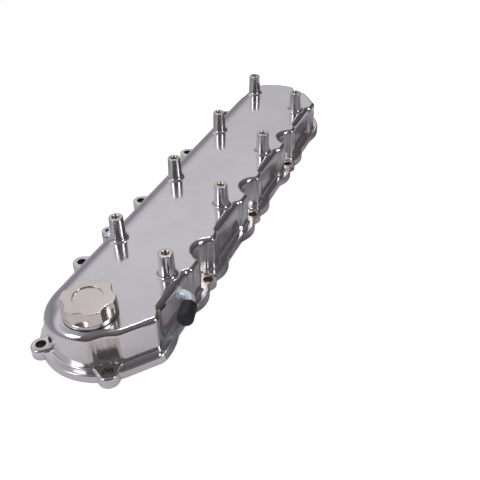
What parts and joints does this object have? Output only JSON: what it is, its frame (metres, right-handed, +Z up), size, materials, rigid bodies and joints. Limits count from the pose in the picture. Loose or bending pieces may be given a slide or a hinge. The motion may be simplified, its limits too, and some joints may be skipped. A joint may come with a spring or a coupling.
{
  "type": "engine valve cover",
  "caption": "Cast aluminium valve cover with coil posts, a perimeter bolt rail, a screw-in filler cap and a capped vent elbow.",
  "frame": {"origin": "axis of the middle bolt of the notched side, in the gasket face", "axes": "+X along the bank from the filler cap's end to the plain end, +Y across towards the flank with the ears, +Z up from the gasket face"},
  "size_m": [0.508, 0.1504, 0.0645],
  "materials": {
    "casting": "polished casting",
    "turned_aluminium": "brushed",
    "green_rubber": "satin",
    "plated_steel": "zinc plated",
    "black_rubber": "satin",
    "sheet_steel": "plain sheet"
  },
  "bodies": {
    "cover": {"cover": "casting", "vent_elbow": "plated_steel", "rail_gasket": "black_rubber", "baffle_plate": "sheet_steel", "baffle_screws": "plated_steel"},
    "sealing_ring": {"filler_cap_o_ring": "green_rubber"},
    "filler_cap": {"filler_cap": "turned_aluminium"},
    "vent_cap": {"vent_cap": "black_rubber"}
  },
  "joints": [
    {"name": "cap_lift", "type": "slide", "parent": "cover", "child": "sealing_ring", "axis": [0, 0, 1], "range_m": [0, 0.0106]},
    {"name": "cap_turn", "type": "hinge", "parent": "sealing_ring", "child": "filler_cap", "pos_m": [-0.21724, 0.0498, 0.0446], "axis": [0, 0, 1], "range_deg": [0, 1260]},
    {"name": "vent_cap_pull", "type": "slide", "parent": "cover", "child": "vent_cap", "axis": [-0.9703, -0.2419, 0], "range_m": [0, 0.012]}
  ],
  "couplings": [
    {"joint": "cap_lift", "follows": "cap_turn", "m_per_rad": 0.00047746}
  ]
}
